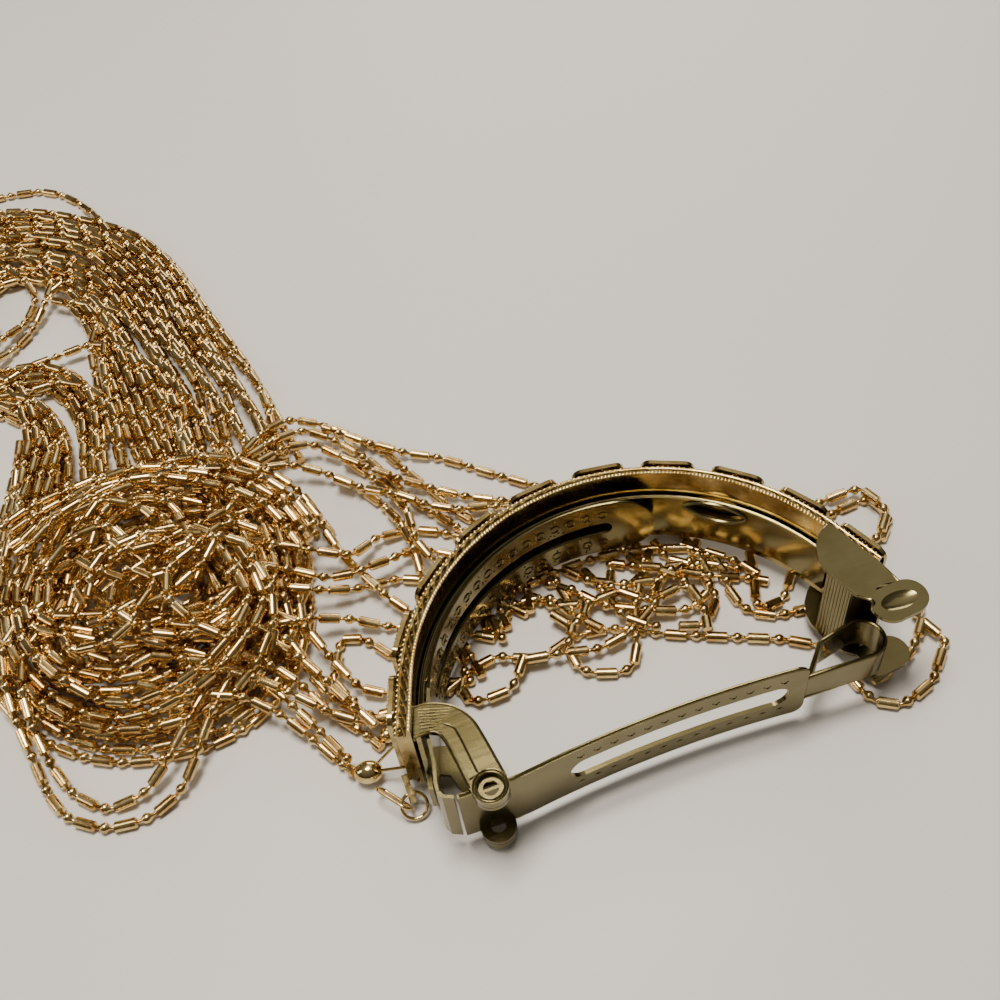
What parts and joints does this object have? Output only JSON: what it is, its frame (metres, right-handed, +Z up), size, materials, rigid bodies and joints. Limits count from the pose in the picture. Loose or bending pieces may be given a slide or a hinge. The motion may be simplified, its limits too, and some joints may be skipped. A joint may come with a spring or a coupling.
{
  "type": "ponytail cuff barrette with chain tassel",
  "caption": "Arched cast metal ponytail cuff with raised plaques, a hinged spring clasp inside it and a long tassel of fine ball and bar chain lying in a heap beside it",
  "frame": {"origin": "Centre of the cuff's arch, on the surface that the chains lie on", "axes": "+Z is up and runs along the hair through the cuff; +Y points to the crown of the arch; +X points to the catch, away from the hinge"},
  "size_m": [0.1234, 0.1434, 0.0136],
  "materials": {
    "cast_gold": "warm gold plating, polished, on cast alloy",
    "pale_gold": "pale gold plating, satin, on sheet steel",
    "rose_gold": "rose gold plating, polished, on fine chain"
  },
  "bodies": {
    "cuff": {"cuff": "cast_gold", "clasp_base": "pale_gold", "catch": "pale_gold", "spring_bow": "pale_gold", "left_ring": "pale_gold", "left_link": "rose_gold", "left_bead": "pale_gold", "side_bead": "rose_gold", "right_bead": "cast_gold", "tassel_nest": "rose_gold", "tassel_fall": "rose_gold", "arch_chains": "rose_gold"},
    "arm": {"clip_arm": "pale_gold"}
  },
  "joints": [
    {"name": "arm_hinge", "type": "hinge", "parent": "cuff", "child": "arm", "pos_m": [-0.0206, -0.00525, 0.0063], "axis": [0, 0, 1], "range_deg": [-80, 0]}
  ]
}
